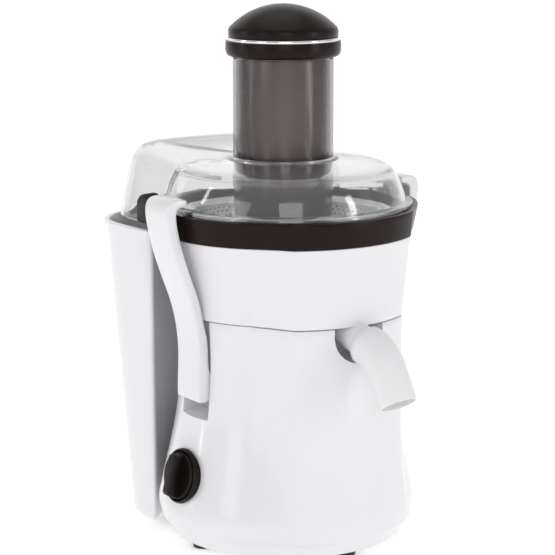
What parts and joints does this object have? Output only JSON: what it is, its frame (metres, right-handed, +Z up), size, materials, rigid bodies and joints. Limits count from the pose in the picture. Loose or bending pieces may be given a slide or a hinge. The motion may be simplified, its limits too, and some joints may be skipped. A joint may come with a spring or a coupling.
{
  "type": "centrifugal juicer",
  "caption": "Tall electric juicer: flared motor base, juice bowl with a front spout, clear lid with a wide feed tube, pusher, side latches and a rear pulp bin.",
  "frame": {"origin": "centre of the bounding box's underside, on the surface the feet stand on", "axes": "+Z up; -Y is the front, where the spout and panel are; +Y is the back, where the pulp container stands; -X is the side with the speed knob"},
  "size_m": [0.2294, 0.2972, 0.4],
  "materials": {
    "white_shell": "smooth gloss white moulding",
    "dark_trim": "very dark brown gloss moulding",
    "clear_lid": "clear plastic",
    "smoky_pusher": "smoky translucent plastic",
    "frosted_nozzle": "frosted translucent plastic",
    "silver_band": "bright band",
    "stainless": "stainless sheet",
    "black_rubber": "matte rubber",
    "grey_nylon": "grey engineering plastic",
    "pale_nylon": "pale plastic",
    "steel": "turned steel",
    "laminations": "stacked electrical steel",
    "copper": "enamelled copper wire",
    "brass": "pressed brass",
    "carbon": "pressed carbon",
    "alloy": "cast alloy"
  },
  "bodies": {
    "base": {"motor_housing": "white_shell", "base_plate": "white_shell", "feet": "black_rubber", "base_screws": "steel", "cord_gland": "black_rubber", "terminal_block": "pale_nylon", "juice_collector": "white_shell", "collar_ring": "dark_trim", "spout_nozzle": "frosted_nozzle", "shaft_seal": "black_rubber", "knob_bezel": "dark_trim", "switch_body": "pale_nylon", "interlock_switch": "grey_nylon", "upper_bearing": "steel", "lower_bearing": "steel", "upper_bracket": "alloy", "lower_bracket": "alloy", "stator_core": "laminations", "field_coils": "copper", "brush_holders": "brass", "carbon_brushes": "carbon", "motor_mounts": "black_rubber", "motor_screws": "steel"},
    "rotor": {"sieve_rim": "stainless", "sieve_wall": "stainless", "grater_disc": "stainless", "sieve_hub": "grey_nylon", "drive_coupling": "grey_nylon", "motor_shaft": "steel", "armature_core": "laminations", "armature_winding": "copper", "commutator": "copper", "cooling_fan": "pale_nylon"},
    "knob": {"speed_knob": "dark_trim"},
    "latch_left": {"latch_arm_left": "white_shell", "latch_pin_left": "steel"},
    "latch_right": {"latch_arm_right": "white_shell", "latch_pin_right": "steel"},
    "lid": {"lid": "clear_lid"},
    "pusher": {"pusher_body": "smoky_pusher", "pusher_collar": "dark_trim", "pusher_band": "silver_band", "pusher_cap": "dark_trim"},
    "container": {"pulp_container": "white_shell"}
  },
  "joints": [
    {"name": "rotor_spin", "type": "hinge", "parent": "base", "child": "rotor", "pos_m": [0, 0, 0.1], "axis": [0, 0, 1], "continuous": true},
    {"name": "knob_turn", "type": "hinge", "parent": "base", "child": "knob", "pos_m": [-0.0928, 0, 0.0575], "axis": [-0.9759, 0, 0.2181], "range_deg": [-45, 45]},
    {"name": "latch_left_open", "type": "hinge", "parent": "base", "child": "latch_left", "pos_m": [-0.072, 0, 0.127], "axis": [0, -1, 0], "range_deg": [0, 50]},
    {"name": "latch_right_open", "type": "hinge", "parent": "base", "child": "latch_right", "pos_m": [0.072, 0, 0.127], "axis": [0, 1, 0], "range_deg": [0, 50]},
    {"name": "lid_lift", "type": "slide", "parent": "base", "child": "lid", "axis": [0, 0, 1], "range_m": [0, 0.06]},
    {"name": "pusher_lift", "type": "slide", "parent": "lid", "child": "pusher", "axis": [0, 0, 1], "range_m": [0, 0.155]},
    {"name": "container_slide", "type": "slide", "parent": "base", "child": "container", "axis": [0, 1, 0], "range_m": [0, 0.13]}
  ],
  "couplings": [
    {"joint": "latch_right_open", "follows": "latch_left_open", "ratio": 1},
    {"joint": "lid_lift", "follows": "latch_left_open", "m_per_rad": 0.068754}
  ]
}
